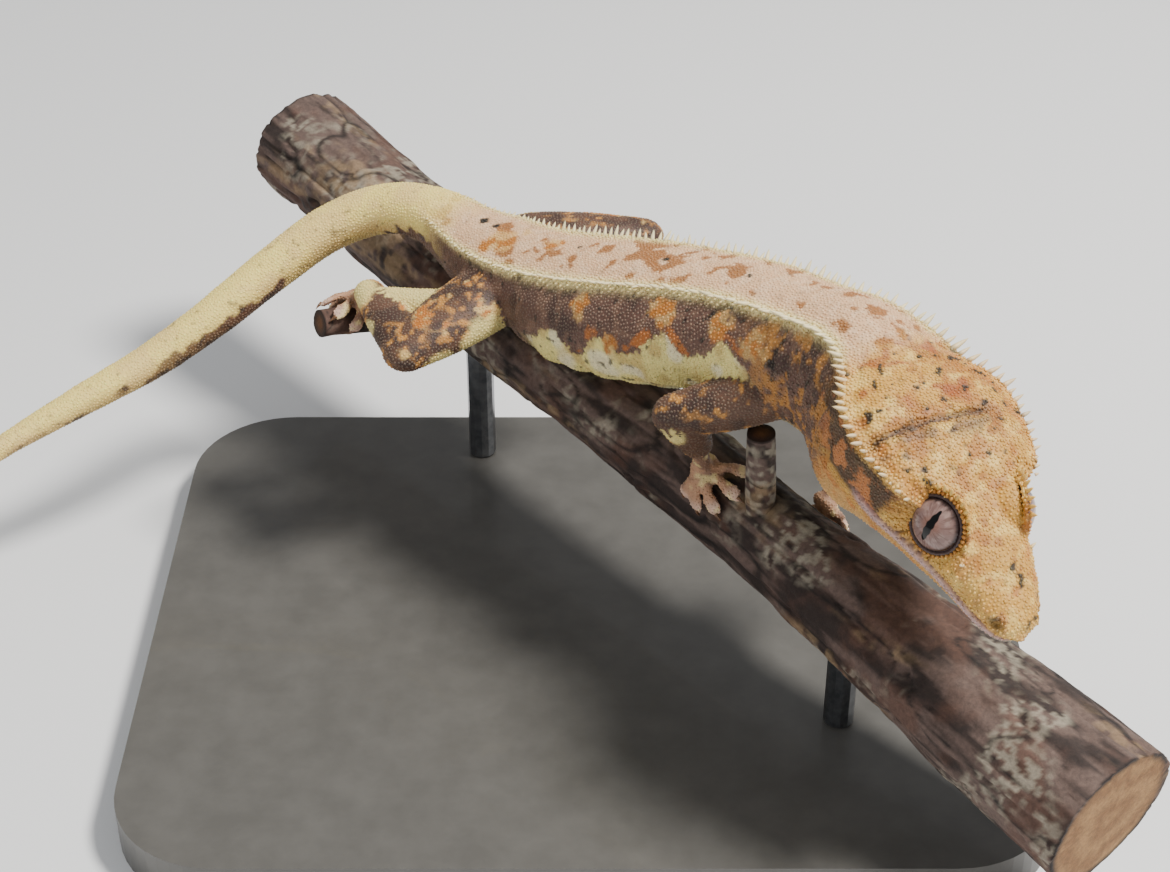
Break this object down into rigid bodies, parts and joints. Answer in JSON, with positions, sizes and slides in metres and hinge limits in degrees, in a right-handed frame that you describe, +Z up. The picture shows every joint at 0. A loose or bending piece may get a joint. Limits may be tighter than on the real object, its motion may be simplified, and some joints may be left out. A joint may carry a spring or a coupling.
{
  "type": "crested gecko model",
  "caption": "Life-size crested gecko with spined crests, resting head down along a cut length of branch that short rods hold over a flat display base.",
  "frame": {"origin": "centre of the underside of the stand's base", "axes": "+X to the viewer's right, +Y away from the viewer, +Z up; the snout points to +X and -Y, the tail to -X"},
  "size_m": [0.1624, 0.1403, 0.0652],
  "materials": {
    "skin_tan": "matte, granular",
    "skin_cream": "matte, granular",
    "skin_brown": "matte, granular",
    "eye": "wet gloss",
    "bark": "rough bark",
    "base_paint": "matte",
    "rod_steel": "brushed"
  },
  "bodies": {
    "root": {"head": "skin_tan", "lower_jaw": "skin_brown", "eye_right": "eye", "eye_left": "eye", "neck": "skin_tan", "chest": "skin_brown", "belly": "skin_brown", "pelvis": "skin_brown", "tail_1": "skin_cream", "tail_2": "skin_cream", "tail_3": "skin_cream", "tail_4": "skin_cream", "upper_arm_right": "skin_brown", "forearm_right": "skin_brown", "hand_right": "skin_cream", "upper_arm_left": "skin_brown", "forearm_left": "skin_brown", "hand_left": "skin_cream", "thigh_right": "skin_brown", "shin_right": "skin_brown", "foot_right": "skin_cream", "thigh_left": "skin_brown", "shin_left": "skin_brown", "foot_left": "skin_cream", "perch": "bark", "stand_base": "base_paint", "stand_rod_1": "rod_steel", "stand_rod_2": "rod_steel"}
  },
  "joints": []
}
